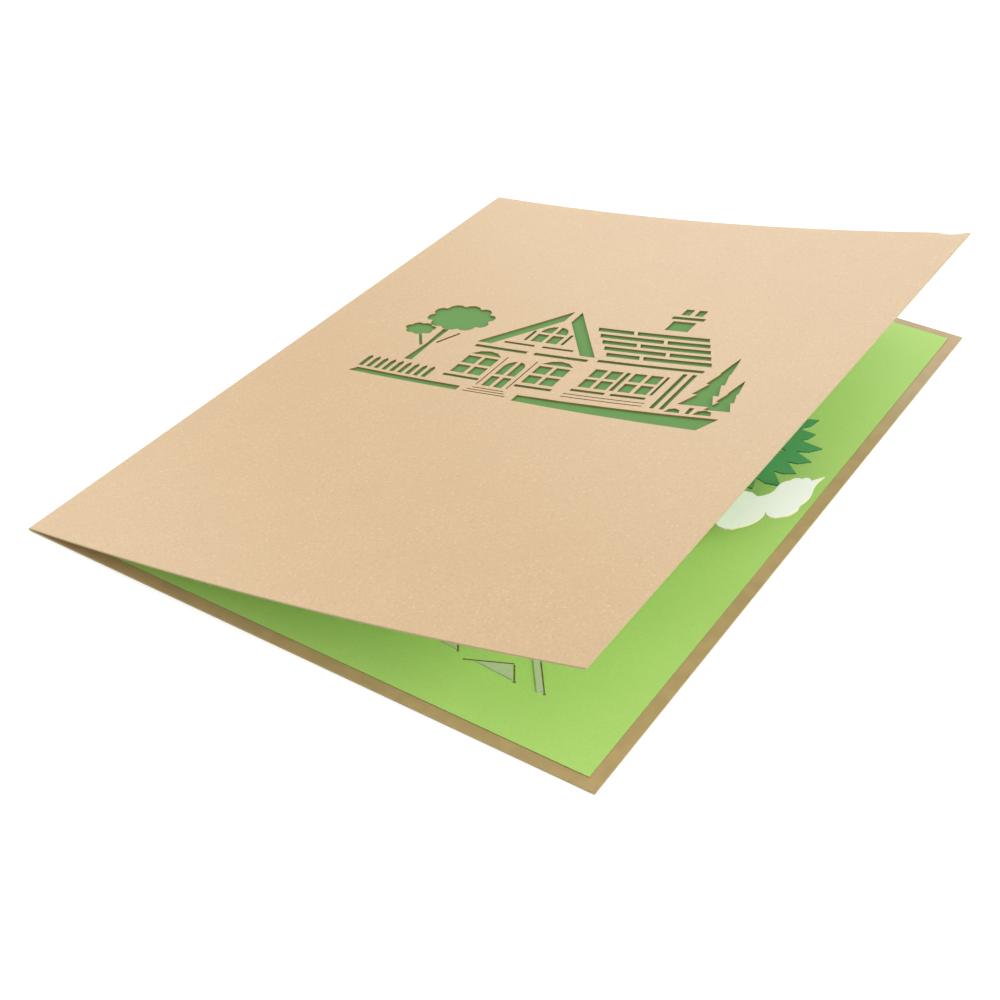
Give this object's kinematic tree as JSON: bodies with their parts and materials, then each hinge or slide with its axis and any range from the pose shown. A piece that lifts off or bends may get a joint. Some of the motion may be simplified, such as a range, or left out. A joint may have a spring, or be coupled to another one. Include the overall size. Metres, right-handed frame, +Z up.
{
  "type": "pop up card",
  "caption": "Folded kraft pop-up greeting card, ajar, with a laser-cut cottage on the cover, green liners and paper layers that stand up as it opens.",
  "frame": {"origin": "centre of the back cover's underside, where the card lies on a table", "axes": "+X from the fold to the free edge, +Y along the fold to the top of the card, +Z up, out of the back cover's inner face"},
  "size_m": [0.15, 0.2, 0.0313],
  "materials": {
    "kraft_card": "pearl kraft card, satin",
    "mid_green_paper": "dyed green paper, matte",
    "light_green_paper": "dyed light green paper, matte",
    "grey_white_paper": "pale paper, matte",
    "white_card": "white card, matte",
    "leaf_green_card": "leaf green card, matte"
  },
  "bodies": {
    "back": {"back_cover": "kraft_card", "back_liner": "light_green_paper", "hook_triangle_1": "grey_white_paper", "hook_triangle_2": "grey_white_paper", "hook_strip": "grey_white_paper"},
    "front": {"front_cover": "kraft_card", "green_insert": "mid_green_paper", "front_liner": "light_green_paper"},
    "house_front": {"house_front": "white_card"},
    "tree_row": {"tree_row": "leaf_green_card"},
    "bush_row": {"bush_row": "leaf_green_card"},
    "fence_row": {"fence_row": "white_card"},
    "house_back": {"house_back": "white_card"},
    "grove_row": {"grove_row": "leaf_green_card"},
    "hill_row": {"hill_row": "light_green_paper"}
  },
  "joints": [
    {"name": "cover_hinge", "type": "hinge", "parent": "back", "child": "front", "pos_m": [-0.075, 0, 0.0004], "axis": [0, -1, 0], "range_deg": [-3.4, 168]},
    {"name": "house_front_pivot", "type": "hinge", "parent": "back", "child": "house_front", "pos_m": [-0.051, 0, 0.00065], "axis": [0, -1, 0], "range_deg": [-2.1, 86]},
    {"name": "tree_row_pivot", "type": "hinge", "parent": "back", "child": "tree_row", "pos_m": [-0.031, 0, 0.00065], "axis": [0, -1, 0], "range_deg": [-2.1, 86]},
    {"name": "bush_row_pivot", "type": "hinge", "parent": "back", "child": "bush_row", "pos_m": [-0.011, 0, 0.00065], "axis": [0, -1, 0], "range_deg": [-2.1, 86]},
    {"name": "fence_row_pivot", "type": "hinge", "parent": "back", "child": "fence_row", "pos_m": [0.009, 0, 0.00065], "axis": [0, -1, 0], "range_deg": [-2.1, 86]},
    {"name": "house_back_pivot", "type": "hinge", "parent": "front", "child": "house_back", "pos_m": [-0.04128, 0, 0.00487], "axis": [0, -1, 0], "range_deg": [-82.5, 2.1]},
    {"name": "grove_row_pivot", "type": "hinge", "parent": "front", "child": "grove_row", "pos_m": [-0.02158, 0, 0.00832], "axis": [0, -1, 0], "range_deg": [-82.5, 2.1]},
    {"name": "hill_row_pivot", "type": "hinge", "parent": "front", "child": "hill_row", "pos_m": [-0.00194, 0, 0.01218], "axis": [0, -1, 0], "range_deg": [-82.5, 2.1]}
  ],
  "couplings": [
    {"joint": "house_front_pivot", "follows": "cover_hinge", "ratio": 0.5107},
    {"joint": "tree_row_pivot", "follows": "cover_hinge", "ratio": 0.5107},
    {"joint": "bush_row_pivot", "follows": "cover_hinge", "ratio": 0.5107},
    {"joint": "fence_row_pivot", "follows": "cover_hinge", "ratio": 0.5107},
    {"joint": "house_back_pivot", "follows": "cover_hinge", "ratio": -0.4893},
    {"joint": "grove_row_pivot", "follows": "cover_hinge", "ratio": -0.4893},
    {"joint": "hill_row_pivot", "follows": "cover_hinge", "ratio": -0.4893}
  ]
}
